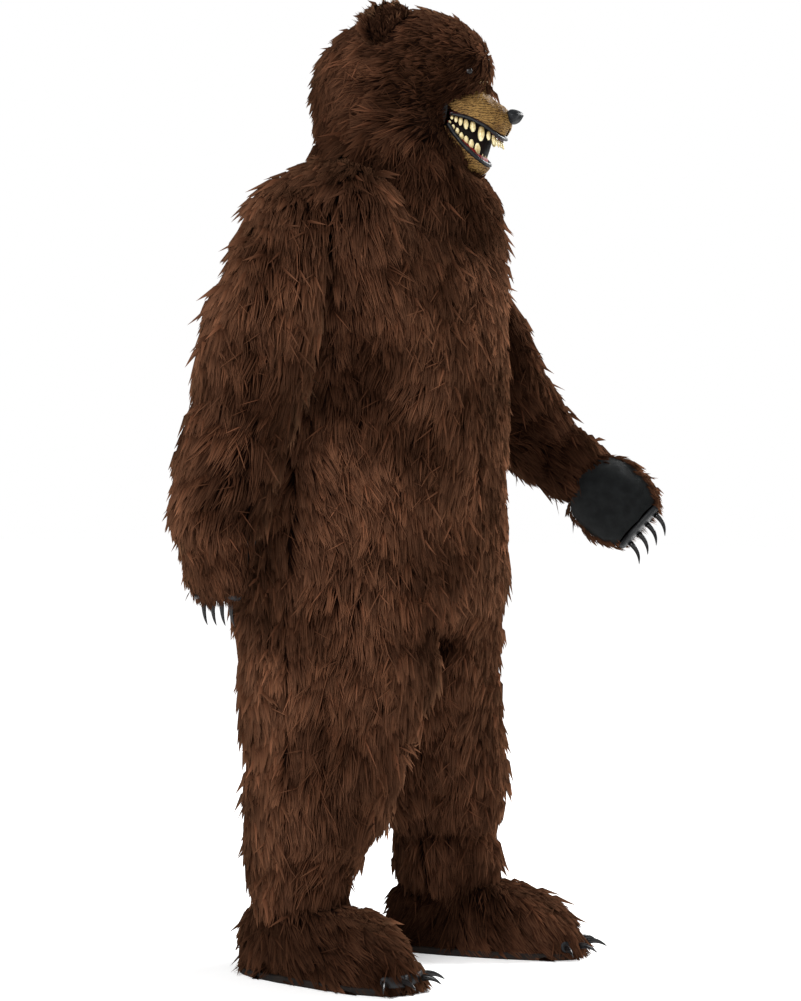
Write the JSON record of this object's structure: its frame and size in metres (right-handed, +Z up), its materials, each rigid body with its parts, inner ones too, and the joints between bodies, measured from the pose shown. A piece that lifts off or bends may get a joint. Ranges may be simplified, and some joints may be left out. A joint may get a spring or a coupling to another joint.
{
  "type": "bear costume",
  "caption": "Full-body bear costume in long brown fur: jumpsuit, mask head with open toothed snout, clawed mitts and clawed shoe covers, in its worn pose.",
  "frame": {"origin": "where the wearer's shoulders carry the costume: on the torso's upright axis, 1.50 m above the floor under the soles", "axes": "+Z up along the figure, -Y is where the costume's front faces, -X is the costume's own right side"},
  "size_m": [1.0665, 0.6625, 1.8848],
  "materials": {
    "brown_fur": "long-pile fake fur on a knitted backing",
    "black_cloth": "plain woven, matt",
    "charcoal_latex": "satin, moulded",
    "tan_latex": "painted latex with fine dark wrinkles",
    "mouth_flesh": "satin, painted dark red",
    "tooth_ivory": "satin",
    "gloss_black": "gloss",
    "sole_rubber": "matt"
  },
  "bodies": {
    "root": {"back_left": "brown_fur", "back_right": "brown_fur", "back_zip": "black_cloth", "ear_left": "brown_fur", "ear_right": "brown_fur", "eye_left": "gloss_black", "eye_right": "gloss_black", "foot_claw_left_1": "gloss_black", "foot_claw_left_2": "gloss_black", "foot_claw_left_3": "gloss_black", "foot_claw_left_4": "gloss_black", "foot_claw_right_1": "gloss_black", "foot_claw_right_2": "gloss_black", "foot_claw_right_3": "gloss_black", "foot_claw_right_4": "gloss_black", "front_left": "brown_fur", "front_right": "brown_fur", "gum_lower": "mouth_flesh", "gum_upper": "mouth_flesh", "hood_left": "brown_fur", "hood_right": "brown_fur", "jaw": "tan_latex", "lip_lower": "charcoal_latex", "lip_upper": "charcoal_latex", "mitt_back_left": "brown_fur", "mitt_back_right": "brown_fur", "mitt_claw_left_1": "gloss_black", "mitt_claw_left_2": "gloss_black", "mitt_claw_left_3": "gloss_black", "mitt_claw_left_4": "gloss_black", "mitt_claw_right_1": "gloss_black", "mitt_claw_right_2": "gloss_black", "mitt_claw_right_3": "gloss_black", "mitt_claw_right_4": "gloss_black", "mitt_pad_left": "charcoal_latex", "mitt_pad_right": "charcoal_latex", "mitt_palm_left": "black_cloth", "mitt_palm_right": "black_cloth", "muzzle": "tan_latex", "nose": "gloss_black", "shoe_left": "brown_fur", "shoe_right": "brown_fur", "sleeve_left": "brown_fur", "sleeve_right": "brown_fur", "sole_left": "sole_rubber", "sole_right": "sole_rubber", "teeth_lower": "tooth_ivory", "teeth_upper": "tooth_ivory", "toe_pad_left": "charcoal_latex", "toe_pad_right": "charcoal_latex", "tongue": "mouth_flesh", "zip_slider": "gloss_black"}
  },
  "joints": []
}
